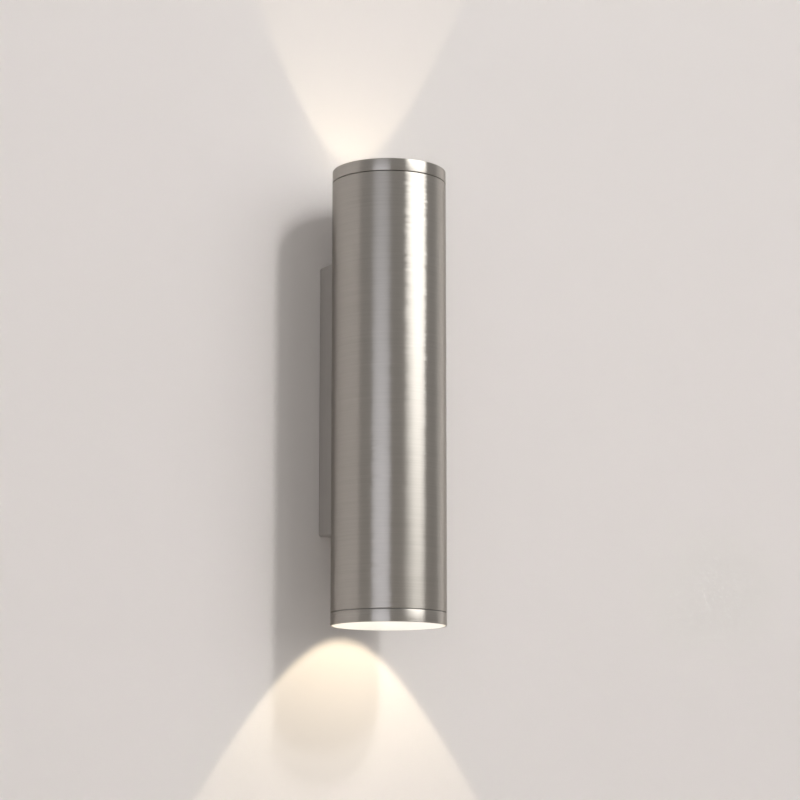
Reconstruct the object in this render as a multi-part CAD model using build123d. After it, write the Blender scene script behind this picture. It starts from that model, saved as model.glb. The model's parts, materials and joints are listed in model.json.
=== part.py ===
from build123d import *
import os
from math import atan2, degrees, sqrt

# Up-and-down tube wall light.
# +Z is up, the wall is the plane y = 0 and the light stands out from it towards -Y.
# The origin is the middle of the back box on the wall. All sizes are millimetres.

# The tube and its two end rings
light_height = 300.0
tube_diameter = 75.0
tube_wall = 1.5
ring_height = 8.0
shadow_gap = 0.5
edge_break = 0.3

# The back box between the tube and the wall
tube_to_wall = 23.0
box_width = 36.0
box_height = 183.0
box_rise = 4.0
box_corner = 2.0
box_wall = 2.5
box_floor = 3.0
saddle_gap = 0.1
pad_height = 0.5
pad_margin = 1.5

# Screw joint of an end ring in its collar
collar_height = 14.0
collar_wall = 1.9
press_gap = 0.05
thread_gap = 0.1
spigot_length = 9.0
spigot_wall = 3.0
seal_top_land = 1.0
seal_height = 2.2
seal_depth = 1.6
seal_gap = 0.05
seal_side_gap = 0.1

# Glass disc at each end
rim_thickness = 0.8
glass_thickness = 4.0
glass_gap = 0.2
glass_bevel = 0.4
washer_thickness = 1.0

# Spot lamp with a two-pin twist base
lamp_to_glass = 8.0
lamp_length = 54.0
lamp_face_diameter = 50.0
lamp_rim_height = 6.0
lamp_neck_diameter = 29.0
lamp_neck_height = 16.0
lamp_base_diameter = 26.0
lamp_base_height = 10.0
optic_diameter = 43.0
optic_thickness = 2.0
optic_seat = 1.2
optic_gap = 0.15
fin_count = 16
fin_slot_width = 2.2
fin_slot_depth = 2.6
pin_spacing = 10.0
pin_neck_diameter = 3.2
pin_head_diameter = 5.0
pin_head_height = 2.6
pin_length = 7.2
twist_degrees = 25.0

# Ceramic lampholder
lamp_seat_gap = 0.3
holder_diameter = 28.0
holder_height = 22.0
holder_face = 3.0
holder_chamber = 5.0
neck_slot_gap = 0.25
head_slot_gap = 0.3
holder_screw_spacing = 18.0
contact_thickness = 0.5
contact_inset = 0.6
barrel_diameter = 2.4
barrel_length = 9.0
barrel_gap = 0.1

# Folded steel frame that carries both lampholders
frame_width = 24.0
frame_thickness = 1.2
frame_bend = 1.5
frame_seat_gap = 0.1
frame_reach = 15.0
frame_corner = 4.0
shelf_wire_hole = 15.0
screw_below_shelf = 19.7

# Wall bracket and the seal round it
bracket_thickness = 1.5
bracket_bend = 1.5
bracket_side_gap = 0.4
tab_length = 12.0
tab_gap = 0.4
wall_screw_spacing = 120.0
wall_slot_width = 4.5
wall_slot_length = 12.0
gasket_width = 3.5
gasket_rebate = 1.0
gasket_gap = 0.1
dimple_depth = 1.6
dimple_rim = 1.0

# Cable entry grommet and the bush between box and tube
cable_bore = 8.0
cable_hole = 12.0
grommet_flange = 1.4
grommet_flange_width = 1.8
bush_below_screw = 12.0
bush_bore = 7.5
bush_hole = 10.2
bush_flange = 1.2
bush_flange_width = 1.6
rubber_gap = 0.1

# Terminal block
lead_drop = 16.0
cable_room = 12.0
pole_count = 3
pole_pitch = 9.0
pole_width = 8.2
terminal_length = 17.0
terminal_height = 13.0
terminal_web_height = 6.0
pole_corner = 1.4
terminal_bore_height = 5.0
insert_diameter = 4.8
insert_bore = 3.6
insert_inset = 0.8
insert_gap = 0.05
clamp_spacing = 8.4
clamp_screw_diameter = 2.6
clamp_screw_recess = 1.2
tower_hole = 3.6

# Screws, nuts and earth fittings
m4_diameter = 4.0
m4_head_diameter = 8.0
m4_head_height = 2.8
head_rounding = 0.45  # share of a head's height that its edge rounding takes
m4_nut_width = 7.0
m4_nut_height = 3.2
m3_diameter = 3.0
m3_head_diameter = 5.6
m3_head_height = 2.0
screw_gap = 0.05
clearance_hole_gap = 0.25
screw_tail = 1.0
holder_screw_depth = 7.0
block_screw_seat = 8.0
block_screw_diameter = 2.5
block_screw_head = 4.4
block_screw_head_height = 1.8
grub_length = 8.0
grub_recess = 0.3
grub_boss = 3.0
grub_boss_diameter = 9.0
grub_from_wall = 7.5
grub_socket_width = 2.0
grub_socket_depth = 3.0
earth_offset = 7.0
earth_drop = 18.0
earth_head_diameter = 7.0
tag_thickness = 0.8
tag_diameter = 8.4
tag_barrel_diameter = 3.0
tag_barrel_length = 6.0

# Insulated leads
lead_diameter = 1.6
lead_spread = 1.6
lead_pair_spread = 0.85
lead_fan_step = 1.0
lead_bend = 4.0
lead_fan_bend = 8.0
lead_tail = 0.8
earth_lead_diameter = 1.8
earth_loop_rise = 7.2
earth_loop_gap = 1.0
earth_loop_bend = 0.45  # share of the loop's depth that each of its bends takes

# Worked out from the sizes above
tube_radius = tube_diameter / 2
tube_bore_radius = tube_radius - tube_wall
axis_to_wall = tube_to_wall + tube_radius
top = light_height / 2
ring_bottom = top - ring_height
tube_top = ring_bottom - shadow_gap
glass_bottom = top - glass_thickness
ring_ledge = glass_bottom - washer_thickness
rebate_radius = tube_radius - rim_thickness
collar_bore_radius = tube_bore_radius - collar_wall
spigot_radius = collar_bore_radius - thread_gap
opening_radius = spigot_radius - spigot_wall
lamp_face = glass_bottom - lamp_to_glass
lamp_bottom = lamp_face - lamp_length
holder_top = lamp_bottom - lamp_seat_gap
shelf_top = holder_top - holder_height
shelf_bottom = shelf_top - frame_thickness
spine_face = sqrt((tube_bore_radius - frame_seat_gap) ** 2 - (frame_width / 2) ** 2)
spine_inner_face = spine_face - frame_thickness
box_end = box_height / 2
box_inner_end = box_end - box_wall
box_inner_side = box_width / 2 - box_wall
floor_radius = tube_radius + saddle_gap + box_floor
pad_face = floor_radius + pad_height - axis_to_wall
gasket_side = box_inner_side + gasket_rebate - gasket_gap
gasket_end = box_inner_end + gasket_rebate - gasket_gap
bracket_side = gasket_side - gasket_width - bracket_side_gap
tab_face = box_inner_end - grub_boss - tab_gap
body_screw_height = shelf_top - screw_below_shelf
bush_above_centre = body_screw_height - bush_below_screw
bush_z = bush_above_centre - box_rise
terminal_top = bush_z - lead_drop
terminal_bottom = terminal_top - terminal_length
terminal_z = (terminal_top + terminal_bottom) / 2
terminal_bore_y = -bracket_thickness - terminal_bore_height
cable_z = terminal_bottom - cable_room
body_screw_places = (body_screw_height - box_rise, -body_screw_height - box_rise)
dimple_radius = cable_hole / 2 + grommet_flange_width + dimple_rim
tag_reach = tag_diameter / 2 + tag_barrel_length
earth_loop_top = cable_z - dimple_radius - bracket_thickness - earth_loop_gap
earth_z = earth_loop_top - earth_loop_rise - tag_reach
earth_pad_z = earth_z - earth_drop
clamp_heights = (terminal_z - clamp_spacing / 2, terminal_z + clamp_spacing / 2)
lead_end_z = clamp_heights[1] - clamp_screw_diameter / 2 - lead_tail
bend_room = 2 * lead_bend
pole_places = [(i - (pole_count - 1) / 2) * pole_pitch for i in range(pole_count)]
through = 2 * light_height  # long enough to cut right through

tube_centre = Pos(0, -axis_to_wall, -box_rise)
upper_end = tube_centre
lower_end = tube_centre * Rot(0, 180, 0)


def turned(*profile):
    """Solid turned about Z from (radius, height) points."""
    outline = make_face(Polyline(*profile, close=True))
    return revolve(Plane.XZ * outline, Axis.Z)


def rod(diameter, low, high):
    """Round bar along Z between two heights."""
    return Pos(0, 0, (low + high) / 2) * Cylinder(diameter / 2, high - low)


def along_y(x, z, near, far):
    """Plane normal to Y at near, and the distance from there to far, for work that faces the wall."""
    return Plane(origin=(x, near, z), x_dir=(1, 0, 0), z_dir=(0, far - near, 0)), abs(far - near)


def bar_y(diameter, x, z, near, far):
    """Round bar along Y between two depths."""
    plane, length = along_y(x, z, near, far)
    return extrude(plane * Circle(diameter / 2), length)


def sheet(points, thickness, bend, width):
    """Folded sheet in the YZ plane: centre-line points, inside bend radius and width along X."""
    line = FilletPolyline(*points, radius=bend + thickness / 2)
    strip = trace(line, line_width=thickness)
    return extrude(Plane.YZ * strip, width / 2, both=True)


def pan_screw(diameter, length, head_diameter, head_height):
    """Screw along Z, its head seated at z = 0 and its shank below."""
    head = rod(head_diameter, 0, head_height)
    head = fillet(head.edges().group_by(Axis.Z)[-1], head_height * head_rounding)
    return head + rod(diameter, -length, 0)


def hexagon(width):
    """Six-sided outline, width across its flats."""
    return RegularPolygon(width / 2, 6, major_radius=False)


def facing_wall(x, y, z):
    """Place for a screw whose head faces the wall."""
    return Pos(x, y, z) * Rot(-90, 0, 0)


# ---- tube, collars and end rings ----


def make_body_tube():
    tube = turned(
        (tube_bore_radius, -tube_top),
        (tube_radius - edge_break, -tube_top),
        (tube_radius, -tube_top + edge_break),
        (tube_radius, tube_top - edge_break),
        (tube_radius - edge_break, tube_top),
        (tube_bore_radius, tube_top),
    )
    near = tube_bore_radius - tube_wall
    far = tube_radius + tube_wall
    for height in (body_screw_height, -body_screw_height):
        tube -= bar_y(m4_diameter + 2 * clearance_hole_gap, 0, height, near, far)
    return tube - bar_y(bush_hole, 0, bush_above_centre, near, far)


def make_collar():
    return turned(
        (collar_bore_radius, ring_bottom - collar_height),
        (tube_bore_radius - press_gap, ring_bottom - collar_height),
        (tube_bore_radius - press_gap, ring_bottom),
        (collar_bore_radius + edge_break, ring_bottom),
        (collar_bore_radius, ring_bottom - edge_break),
    )


def make_ring():
    groove_top = ring_bottom - seal_top_land
    groove_bottom = groove_top - seal_height - 2 * seal_side_gap
    groove_radius = spigot_radius - seal_depth
    spigot_end = ring_bottom - spigot_length
    return turned(
        (opening_radius, spigot_end),
        (spigot_radius - edge_break, spigot_end),
        (spigot_radius, spigot_end + edge_break),
        (spigot_radius, groove_bottom),
        (groove_radius, groove_bottom),
        (groove_radius, groove_top),
        (spigot_radius, groove_top),
        (spigot_radius, ring_bottom),
        (tube_radius - edge_break, ring_bottom),
        (tube_radius, ring_bottom + edge_break),
        (tube_radius, top - edge_break),
        (tube_radius - edge_break, top),
        (rebate_radius, top),
        (rebate_radius, ring_ledge),
        (opening_radius, ring_ledge),
    )


def make_seal():
    inner = spigot_radius - seal_depth + seal_gap
    outer = collar_bore_radius - seal_gap
    high = ring_bottom - seal_top_land - seal_side_gap
    low = high - seal_height
    return turned(
        (inner, low + edge_break),
        (inner + edge_break, low),
        (outer - edge_break, low),
        (outer, low + edge_break),
        (outer, high - edge_break),
        (outer - edge_break, high),
        (inner + edge_break, high),
        (inner, high - edge_break),
    )


def make_glass():
    radius = rebate_radius - glass_gap
    disc = rod(2 * radius, glass_bottom, top)
    return chamfer(disc.edges(), glass_bevel)


def make_washer():
    outer = rod(2 * (rebate_radius - glass_gap), ring_ledge, glass_bottom)
    return outer - rod(2 * (opening_radius + glass_gap), ring_ledge, glass_bottom)


# ---- lamp ----


def make_lamp_body():
    neck_top = lamp_bottom + lamp_base_height + lamp_neck_height
    cone_top = lamp_face - lamp_rim_height
    cone_radius = lamp_face_diameter / 2 - edge_break
    neck_radius = lamp_neck_diameter / 2
    base_top = lamp_bottom + lamp_base_height
    body = turned(
        (0, lamp_bottom),
        (lamp_base_diameter / 2, lamp_bottom),
        (lamp_base_diameter / 2, base_top),
        (neck_radius, base_top),
        (neck_radius, neck_top),
        (cone_radius, cone_top),
        (lamp_face_diameter / 2, cone_top),
        (lamp_face_diameter / 2, lamp_face - edge_break),
        (lamp_face_diameter / 2 - edge_break, lamp_face),
        (optic_diameter / 2, lamp_face),
        (optic_diameter / 2, lamp_face - optic_seat - optic_thickness),
        (0, lamp_face - optic_seat - optic_thickness),
    )
    # cooling slots follow the slope of the cone
    rise = cone_top - neck_top
    run = cone_radius - neck_radius
    slope = degrees(atan2(run, rise))
    slot = Box(2 * fin_slot_depth, fin_slot_width, sqrt(rise**2 + run**2))
    middle = Pos((cone_radius + neck_radius) / 2, 0, (cone_top + neck_top) / 2)
    for step in range(fin_count):
        body -= Rot(0, 0, step * 360 / fin_count) * middle * Rot(0, slope, 0) * slot
    return body


def make_lamp_optic():
    low = lamp_face - optic_seat - optic_thickness
    rim = optic_diameter / 2 - optic_gap
    with BuildPart() as optic:
        with BuildSketch(Plane.XZ):
            with BuildLine():
                crown = (0, lamp_face - edge_break)
                edge = (rim, low + optic_thickness)
                Polyline(crown, (0, low), (rim, low), edge)
                TangentArc(crown, edge, tangent=(1, 0))
            make_face()
        revolve(axis=Axis.Z)
    return optic.part


def make_lamp_pins():
    pins = []
    for side in (1, -1):
        neck = rod(pin_neck_diameter, lamp_bottom - pin_length, lamp_bottom)
        head_bottom = lamp_bottom - pin_length
        head = rod(pin_head_diameter, head_bottom, head_bottom + pin_head_height)
        head = chamfer(head.edges(), edge_break)
        pins.append(Pos(0, side * pin_spacing / 2, 0) * (neck + head))
    return pins


# ---- lampholder ----


def twist_slot(width):
    """Curved slot in which one pin turns, from its locked place to its way out."""
    slots = Sketch()
    for start in (90, 270):
        slots += SlotArc(CenterArc((0, 0), pin_spacing / 2, start, twist_degrees), width)
    return slots


def make_holder():
    body = rod(holder_diameter, shelf_top, holder_top)
    body = chamfer(body.edges().group_by(Axis.Z)[-1], 2 * edge_break)
    neck_width = pin_neck_diameter + 2 * neck_slot_gap
    head_width = pin_head_diameter + 2 * head_slot_gap
    chamber_bottom = holder_top - holder_face - holder_chamber
    body -= Pos(0, 0, chamber_bottom) * extrude(twist_slot(neck_width), holder_face + holder_chamber)
    body -= Pos(0, 0, chamber_bottom) * extrude(twist_slot(head_width), holder_chamber)
    for side in (1, -1):
        way_in = Rot(0, 0, twist_degrees) * Pos(0, side * pin_spacing / 2, 0)
        body -= way_in * rod(head_width, chamber_bottom, holder_top)
        wire_hole = rod(barrel_diameter + 2 * barrel_gap, shelf_top, holder_top - holder_face)
        body -= Pos(0, side * pin_spacing / 2, 0) * wire_hole
        hole_end = shelf_top + holder_screw_depth + screw_tail
        screw_hole = rod(m3_diameter + 2 * screw_gap, shelf_top, hole_end)
        body -= Pos(side * holder_screw_spacing / 2, 0, 0) * screw_hole
    return body


def make_contacts():
    bottom = holder_top - holder_face - holder_chamber
    width = pin_head_diameter + 2 * head_slot_gap - 2 * contact_inset
    plates = extrude(twist_slot(width), contact_thickness)
    contacts = Pos(0, 0, bottom) * plates
    for side in (1, -1):
        barrel = rod(barrel_diameter, bottom - barrel_length, bottom)
        contacts += Pos(0, side * pin_spacing / 2, 0) * barrel
    return contacts


def make_holder_screws():
    screw = pan_screw(m3_diameter, frame_thickness + holder_screw_depth, m3_head_diameter, m3_head_height)
    place = Pos(0, 0, shelf_bottom) * Rot(180, 0, 0)
    return [Pos(side * holder_screw_spacing / 2, 0, 0) * place * screw for side in (1, -1)]


# ---- inner frame and what fixes the tube to the box ----


def make_frame():
    spine = spine_face - frame_thickness / 2
    shelf = shelf_top - frame_thickness / 2
    points = [(-frame_reach, shelf), (spine, shelf), (spine, -shelf), (-frame_reach, -shelf)]
    frame = sheet(points, frame_thickness, frame_bend, frame_width)
    frame = fillet(frame.edges().filter_by(Axis.Z).group_by(Axis.Y)[0], frame_corner)
    frame -= rod(shelf_wire_hole, -through, through)
    for side in (1, -1):
        holder_hole = rod(m3_diameter + 2 * clearance_hole_gap, -through, through)
        frame -= Pos(side * holder_screw_spacing / 2, 0, 0) * holder_hole
        height = side * body_screw_height
        frame -= bar_y(m4_diameter + 2 * clearance_hole_gap, 0, height, 0, tube_radius)
    return frame - bar_y(bush_hole, 0, bush_above_centre, 0, tube_radius)


def make_frame_nuts():
    nuts = []
    for height in (body_screw_height, -body_screw_height):
        plane, length = along_y(0, height, spine_inner_face, spine_inner_face - m4_nut_height)
        outline = hexagon(m4_nut_width) - Circle(m4_diameter / 2 + screw_gap)
        nuts.append(extrude(plane * outline, length))
    return nuts


def make_body_screws():
    nut_end = spine_inner_face - m4_nut_height - axis_to_wall
    length = pad_face - nut_end + screw_tail
    screw = pan_screw(m4_diameter, length, m4_head_diameter, m4_head_height)
    return [facing_wall(0, pad_face, height) * screw for height in body_screw_places]


def flanged_bush(bore, hole, flange, flange_width, z, front, back):
    """Rubber bush along Y with a flange beyond each face of what it sits in."""
    neck = hole - 2 * rubber_gap
    wide = hole + 2 * flange_width
    bush = bar_y(neck, 0, z, front, back)
    bush += bar_y(wide, 0, z, back, back + flange)
    bush += bar_y(wide, 0, z, front - flange, front)
    return bush - bar_y(bore, 0, z, front - flange, back + flange)


def make_wire_bush():
    front = spine_inner_face - axis_to_wall
    return flanged_bush(bush_bore, bush_hole, bush_flange, bush_flange_width, bush_z, front, pad_face)


# ---- back box ----


def box_outline(inset, corner):
    return Plane.XZ * RectangleRounded(box_width - 2 * inset, box_height - 2 * inset, corner)


def floor_pad(diameter, x, z):
    """Flat seat on the curved floor of the box."""
    return bar_y(diameter, x, z, pad_face, -axis_to_wall)


def make_back_box():
    box = extrude(box_outline(0, box_corner), axis_to_wall)
    pocket = extrude(box_outline(box_wall, box_corner), axis_to_wall)
    pocket -= tube_centre * Cylinder(floor_radius, through)
    box -= pocket
    box -= extrude(box_outline(box_wall - gasket_rebate, box_corner), bracket_thickness)
    for height in body_screw_places:
        box += floor_pad(m4_head_diameter + 2 * pad_margin, 0, height)
    box += floor_pad(bush_hole + 2 * (bush_flange_width + pad_margin), 0, bush_z)
    box += floor_pad(tag_diameter + 2 * pad_margin, -earth_offset, earth_pad_z)
    for side in (1, -1):
        boss = rod(grub_boss_diameter, box_inner_end - grub_boss, box_end - box_wall / 2)
        hole = rod(m4_diameter + 2 * screw_gap, box_inner_end - grub_boss, box_end)
        place = Pos(0, -grub_from_wall, 0) * Rot(90 - side * 90, 0, 0)
        box += place * boss
        box -= place * hole
    box -= tube_centre * Cylinder(tube_radius + saddle_gap, through)
    for height in body_screw_places:
        box -= bar_y(m4_diameter + 2 * clearance_hole_gap, 0, height, 0, -axis_to_wall)
    box -= bar_y(bush_hole, 0, bush_z, 0, -axis_to_wall)
    earth_hole_end = pad_face - box_floor
    return box - bar_y(m4_diameter + 2 * screw_gap, -earth_offset, earth_pad_z, 0, earth_hole_end)


def make_box_screws():
    screws = []
    for side in (1, -1):
        screw = rod(m4_diameter, box_end - grub_recess - grub_length, box_end - grub_recess)
        screw = chamfer(screw.edges().group_by(Axis.Z)[0], 2 * edge_break)
        socket = extrude(hexagon(grub_socket_width), -grub_socket_depth)
        screw -= Pos(0, 0, box_end - grub_recess) * socket
        screws.append(Pos(0, -grub_from_wall, 0) * Rot(90 - side * 90, 0, 0) * screw)
    return screws


# ---- wall bracket ----


def make_wall_bracket():
    plate = -bracket_thickness / 2
    tab = tab_face - bracket_thickness / 2
    points = [(-tab_length, tab), (plate, tab), (plate, -tab), (-tab_length, -tab)]
    bracket = sheet(points, bracket_thickness, bracket_bend, 2 * bracket_side)
    bracket = fillet(bracket.edges().filter_by(Axis.Z).group_by(Axis.Y)[0], box_corner)
    # dimple that gives the grommet room between plate and wall
    outside = 2 * (dimple_radius + bracket_thickness)
    bracket += bar_y(outside, 0, cable_z, 0, -dimple_depth - bracket_thickness)
    bracket -= bar_y(2 * dimple_radius, 0, cable_z, 0, -dimple_depth)
    bracket -= bar_y(cable_hole, 0, cable_z, 0, -tab_length)
    for height in (wall_screw_spacing / 2, -wall_screw_spacing / 2):
        plane, depth = along_y(0, height, 0, -bracket_thickness)
        bracket -= extrude(plane * SlotOverall(wall_slot_length, wall_slot_width, rotation=90), depth)
    bracket -= Pos(0, -grub_from_wall, 0) * rod(m4_diameter + 2 * clearance_hole_gap, -through, through)
    bracket -= bar_y(m4_diameter + 2 * screw_gap, -earth_offset, earth_z, 0, -bracket_thickness)
    screw_hole = block_screw_diameter + 2 * screw_gap
    for side in (1, -1):
        bracket -= bar_y(screw_hole, side * pole_pitch / 2, terminal_z, 0, -bracket_thickness)
    return bracket


def make_wall_gasket():
    inner_side = gasket_side - gasket_width
    inner_end = gasket_end - gasket_width
    outer = RectangleRounded(2 * gasket_side, 2 * gasket_end, box_corner)
    inner = RectangleRounded(2 * inner_side, 2 * inner_end, edge_break)
    return extrude(Plane.XZ * (outer - inner), bracket_thickness)


def make_cable_grommet():
    front = -dimple_depth - bracket_thickness
    return flanged_bush(
        cable_bore, cable_hole, grommet_flange, grommet_flange_width, cable_z, front, -dimple_depth
    )


# ---- terminal block and earth points ----


def pole_bar(diameter, x, low, high):
    return Pos(x, terminal_bore_y, 0) * rod(diameter, low, high)


def make_terminal_block():
    base = -bracket_thickness
    block_width = (pole_count - 1) * pole_pitch + pole_width
    web = Box(block_width, terminal_web_height, terminal_length - 2 * insert_inset)
    block = Pos(0, base - terminal_web_height / 2, terminal_z) * web
    for x in pole_places:
        section = RectangleRounded(pole_width, terminal_height, pole_corner)
        pole = Pos(x, base - terminal_height / 2, terminal_bottom) * extrude(section, terminal_length)
        block += pole
    for x in pole_places:
        block -= pole_bar(insert_diameter + 2 * insert_gap, x, terminal_bottom, terminal_top)
        for height in clamp_heights:
            block -= bar_y(tower_hole, x, height, terminal_bore_y, base - terminal_height)
    screw_hole = block_screw_diameter + 2 * screw_gap
    head_hole = block_screw_head + 2 * screw_gap
    for side in (1, -1):
        x = side * pole_pitch / 2
        block -= bar_y(screw_hole, x, terminal_z, base, base - terminal_height)
        block -= bar_y(head_hole, x, terminal_z, base - block_screw_seat, base - terminal_height)
    return block


def make_terminal_inserts():
    inserts = []
    clamp_hole = clamp_screw_diameter + 2 * screw_gap
    for x in pole_places:
        tube = pole_bar(insert_diameter, x, terminal_bottom + insert_inset, terminal_top - insert_inset)
        tube -= pole_bar(insert_bore, x, terminal_bottom, terminal_top)
        for height in clamp_heights:
            tube -= bar_y(clamp_hole, x, height, terminal_bore_y, terminal_bore_y - insert_diameter)
        inserts.append(tube)
    return inserts


def make_clamp_screws():
    screws = []
    tip = terminal_bore_y - lead_diameter / 2 - screw_gap
    front = -bracket_thickness - terminal_height + clamp_screw_recess
    for x in pole_places:
        for height in clamp_heights:
            screws.append(bar_y(clamp_screw_diameter, x, height, tip, front))
    return screws


def make_block_screws():
    seat = -bracket_thickness - block_screw_seat
    screw = pan_screw(block_screw_diameter, -seat, block_screw_head, block_screw_head_height)
    return [Pos(side * pole_pitch / 2, seat, terminal_z) * Rot(90, 0, 0) * screw for side in (1, -1)]


def ring_tag(x, y, z, towards_wall):
    """Crimped ring tag lying on the face at y, its barrel pointing up."""
    step = tag_thickness if towards_wall else -tag_thickness
    tag = bar_y(tag_diameter, x, z, y, y + step)
    tongue_length = tag_diameter / 2 + tag_barrel_length / 2
    tongue = Box(tag_barrel_diameter, tag_thickness, tongue_length)
    tag += Pos(x, y + step / 2, z + tongue_length / 2) * tongue
    barrel_y = y + step / tag_thickness * tag_barrel_diameter / 2
    low = z + tag_diameter / 2
    tag += Pos(x, barrel_y, 0) * rod(tag_barrel_diameter, low, low + tag_barrel_length)
    return tag - bar_y(m4_diameter + 2 * screw_gap, x, z, y - 2 * tag_thickness, y + 2 * tag_thickness)


def make_earth_tags():
    bracket_tag = ring_tag(-earth_offset, -bracket_thickness, earth_z, False)
    box_tag = ring_tag(-earth_offset, pad_face, earth_pad_z, True)
    return [bracket_tag, box_tag]


def make_earth_screws():
    bracket_seat = -bracket_thickness - tag_thickness
    bracket_screw = pan_screw(m4_diameter, -bracket_seat, earth_head_diameter, m4_head_height)
    box_seat = pad_face + tag_thickness
    box_length = tag_thickness + box_floor - 2 * edge_break
    box_screw = pan_screw(m4_diameter, box_length, earth_head_diameter, m4_head_height)
    return [
        Pos(-earth_offset, bracket_seat, earth_z) * Rot(90, 0, 0) * bracket_screw,
        facing_wall(-earth_offset, box_seat, earth_pad_z) * box_screw,
    ]


# ---- leads ----


def lead(points, radii, diameter):
    """Round lead along a bent route."""
    route = FilletPolyline(*points, radius=radii)
    return sweep(Plane(origin=route @ 0, z_dir=route % 0) * Circle(diameter / 2), path=route)


def make_leads(end):
    """The two leads of one lampholder: end is 1 for the upper one and -1 for the lower."""
    leads = []
    barrel_end = holder_top - holder_face - holder_chamber - barrel_length
    bush_height = bush_z + end * lead_spread
    turn_height = bush_height + end * bend_room
    spine_y = spine_inner_face - axis_to_wall - bend_room
    for side in (1, -1):
        pin_y = side * pin_spacing / 2 - axis_to_wall
        pole_x = side * (pole_pitch + end * lead_pair_spread)
        bush_x = side * lead_spread
        points = [
            (0, pin_y, end * barrel_end - box_rise),
            (0, pin_y, turn_height),
            (bush_x, spine_y, bush_height),
            (bush_x, terminal_bore_y, bush_height),
            (pole_x, terminal_bore_y, terminal_top + lead_bend + end * lead_fan_step),
            (pole_x, terminal_bore_y, lead_end_z),
        ]
        leads.append(lead(points, [lead_bend, lead_fan_bend, lead_bend, lead_bend], lead_diameter))
    return leads


def make_earth_lead():
    bracket_y = -bracket_thickness - tag_barrel_diameter / 2
    box_y = pad_face + tag_barrel_diameter / 2
    points = [
        (-earth_offset, bracket_y, earth_z + tag_reach),
        (-earth_offset, bracket_y, earth_loop_top),
        (-earth_offset, box_y, earth_loop_top),
        (-earth_offset, box_y, earth_pad_z + tag_reach),
    ]
    return lead(points, (bracket_y - box_y) * earth_loop_bend, earth_lead_diameter)


# ---- write every piece ----


def write(name, shapes):
    shapes = shapes if isinstance(shapes, list) else [shapes]
    solids = [solid for shape in shapes for solid in shape.solids()]
    export_step(solids[0] if len(solids) == 1 else Compound(solids), f"parts/{name}.step")


def write_end(prefix, end, which):
    """The pieces that both ends of the light have alike."""
    pieces = {
        "collar": make_collar(),
        "ring": make_ring(),
        "ring_seal": make_seal(),
        "glass": make_glass(),
        "glass_washer": make_washer(),
        "lamp_body": make_lamp_body(),
        "lamp_optic": make_lamp_optic(),
        "lamp_pins": make_lamp_pins(),
        "lampholder": make_holder(),
        "contacts": make_contacts(),
        "lampholder_screws": make_holder_screws(),
    }
    for name, shapes in pieces.items():
        shapes = shapes if isinstance(shapes, list) else [shapes]
        write(f"{prefix}_{name}", [end * shape for shape in shapes])
    write(f"{prefix}_leads", make_leads(which))


os.makedirs("parts", exist_ok=True)
write("body_tube", tube_centre * make_body_tube())
write_end("upper", upper_end, 1)
write_end("lower", lower_end, -1)
write("inner_frame", tube_centre * make_frame())
write("frame_nuts", [tube_centre * nut for nut in make_frame_nuts()])
write("body_screws", make_body_screws())
write("wire_bush", make_wire_bush())
write("back_box", make_back_box())
write("box_screws", make_box_screws())
write("wall_bracket", make_wall_bracket())
write("wall_gasket", make_wall_gasket())
write("cable_grommet", make_cable_grommet())
write("terminal_block", make_terminal_block())
write("terminal_inserts", make_terminal_inserts())
write("clamp_screws", make_clamp_screws())
write("block_screws", make_block_screws())
write("earth_tags", make_earth_tags())
write("earth_screws", make_earth_screws())
write("earth_lead", make_earth_lead())
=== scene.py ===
import json
import math

import bmesh
import bpy
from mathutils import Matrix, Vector


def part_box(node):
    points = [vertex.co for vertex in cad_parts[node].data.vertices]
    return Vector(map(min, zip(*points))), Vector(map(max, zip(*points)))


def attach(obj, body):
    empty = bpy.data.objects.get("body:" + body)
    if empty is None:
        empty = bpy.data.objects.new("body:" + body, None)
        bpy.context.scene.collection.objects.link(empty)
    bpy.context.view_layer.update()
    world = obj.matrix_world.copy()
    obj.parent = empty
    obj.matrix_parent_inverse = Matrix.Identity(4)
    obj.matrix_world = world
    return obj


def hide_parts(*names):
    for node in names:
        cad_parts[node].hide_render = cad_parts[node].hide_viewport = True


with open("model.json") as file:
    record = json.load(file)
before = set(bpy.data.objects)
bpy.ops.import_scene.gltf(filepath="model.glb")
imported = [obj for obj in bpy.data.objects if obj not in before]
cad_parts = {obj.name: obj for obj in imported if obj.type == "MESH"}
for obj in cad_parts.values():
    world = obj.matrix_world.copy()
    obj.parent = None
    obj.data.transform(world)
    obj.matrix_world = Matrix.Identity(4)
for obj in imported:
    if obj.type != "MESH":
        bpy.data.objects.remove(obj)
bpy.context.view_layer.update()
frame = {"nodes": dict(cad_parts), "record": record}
nodes = frame["nodes"]
mm = 0.001  # everything here is in metres, the frame's unit
print("frame loaded:", len(nodes), "nodes")

weldReach = 0.01 * mm  # points closer than this are one
rimReach = 0.02 * mm  # an edge this close to a circle lies on it
tubeLow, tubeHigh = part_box("body_tube")
tubeRadius = (tubeHigh.x - tubeLow.x) / 2
tubeAxis = Vector(((tubeLow.x + tubeHigh.x) / 2, (tubeLow.y + tubeHigh.y) / 2, 0))
tubeCentre = Vector((tubeAxis.x, tubeAxis.y, (tubeLow.z + tubeHigh.z) / 2))


def linearColour(hexColour, alpha=1.0):
    channels = []
    for place in (1, 3, 5):
        value = int(hexColour[place:place + 2], 16) / 255
        channels.append(value / 12.92 if value <= 0.04045 else ((value + 0.055) / 1.055) ** 2.4)
    return (*channels, alpha)


def addNode(tree, kind, settings, inputs):
    # an input that is another node's socket becomes a link
    node = tree.nodes.new("ShaderNode" + kind)
    for name, value in settings.items():
        setattr(node, name, value)
    for name, value in inputs.items():
        if isinstance(value, bpy.types.NodeSocket):
            tree.links.new(value, node.inputs[name])
        else:
            node.inputs[name].default_value = value
    return node


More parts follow.
